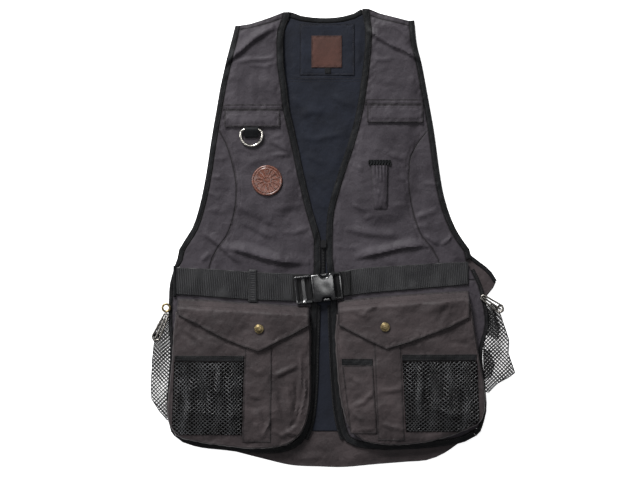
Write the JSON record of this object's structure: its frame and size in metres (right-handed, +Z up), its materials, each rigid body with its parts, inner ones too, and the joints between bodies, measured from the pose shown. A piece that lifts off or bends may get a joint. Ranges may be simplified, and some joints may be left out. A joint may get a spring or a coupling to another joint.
{
  "type": "dog training vest laid flat",
  "caption": "Sleeveless V-neck training vest laid flat, with bound edges, belt and buckle, flapped bellows pockets, net bags and a chest ring.",
  "frame": {"origin": "on the flat underside of the back panel, on the front opening's line, just above the belt", "axes": "+X towards the wearer's left side as seen from the front, that is the viewer's right; +Y from hem to neck; +Z up from the surface that the vest lies on"},
  "size_m": [0.585, 0.7301, 0.03],
  "materials": {
    "shell_cloth": "waxed cotton twill, matt",
    "pocket_cloth": "waxed cotton twill, matt",
    "lining_cloth": "plain woven lining, soft sheen",
    "binding": "folded grosgrain tape",
    "webbing": "ribbed polypropylene webbing",
    "black_net": "knitted net",
    "woven_label": "woven label, plain",
    "badge_leather": "pressed leather, waxed",
    "black_acetal": "moulded, semi gloss",
    "nickel": "nickel plated wire",
    "antique_brass": "antique finish",
    "zip": "coil zip on woven tape"
  },
  "bodies": {
    "vest": {"front_left": "shell_cloth", "front_right": "shell_cloth", "side_panel_left": "shell_cloth", "side_panel_right": "shell_cloth", "shoulder_left": "shell_cloth", "shoulder_right": "shell_cloth", "chest_strip_left": "shell_cloth", "chest_strip_right": "shell_cloth", "chest_flap_left": "shell_cloth", "chest_flap_right": "shell_cloth", "whistle_pocket": "shell_cloth", "whistle_band": "shell_cloth", "back_panel": "pocket_cloth", "pocket_face_left": "pocket_cloth", "pocket_face_right": "pocket_cloth", "pocket_gusset_left": "pocket_cloth", "pocket_gusset_right": "pocket_cloth", "pocket_flap_left": "pocket_cloth", "pocket_flap_right": "pocket_cloth", "placket_left": "pocket_cloth", "placket_right": "pocket_cloth", "mesh_band_left": "pocket_cloth", "mesh_band_right": "pocket_cloth", "small_pocket": "pocket_cloth", "small_pocket_band": "pocket_cloth", "lining": "lining_cloth", "neck_patch": "lining_cloth", "arm_binding_left": "binding", "arm_binding_right": "binding", "front_binding_left": "binding", "front_binding_right": "binding", "side_binding_left": "binding", "side_binding_right": "binding", "neck_binding": "binding", "corner_binding": "binding", "size_tab": "binding", "belt_left": "webbing", "belt_right": "webbing", "belt_end": "webbing", "belt_keeper": "webbing", "ring_loop": "webbing", "mesh_panel_left": "black_net", "mesh_panel_right": "black_net", "net_bag_left": "black_net", "net_bag_right": "black_net", "neck_label": "woven_label", "badge": "badge_leather", "buckle_ladder": "black_acetal", "buckle_catch": "black_acetal", "snap_hook_left": "nickel", "snap_hook_right": "nickel", "snap_left": "antique_brass", "snap_right": "antique_brass", "side_ring": "antique_brass", "zip_chain": "zip", "zip_slider": "zip", "zip_tape_left": "zip", "zip_tape_right": "zip"},
    "d_ring": {"d_ring": "nickel"}
  },
  "joints": [
    {"name": "ring_hinge", "type": "hinge", "parent": "vest", "child": "d_ring", "pos_m": [-0.116, 0.1765, 0.0124], "axis": [-1, 0, 0], "range_deg": [0, 120]}
  ]
}
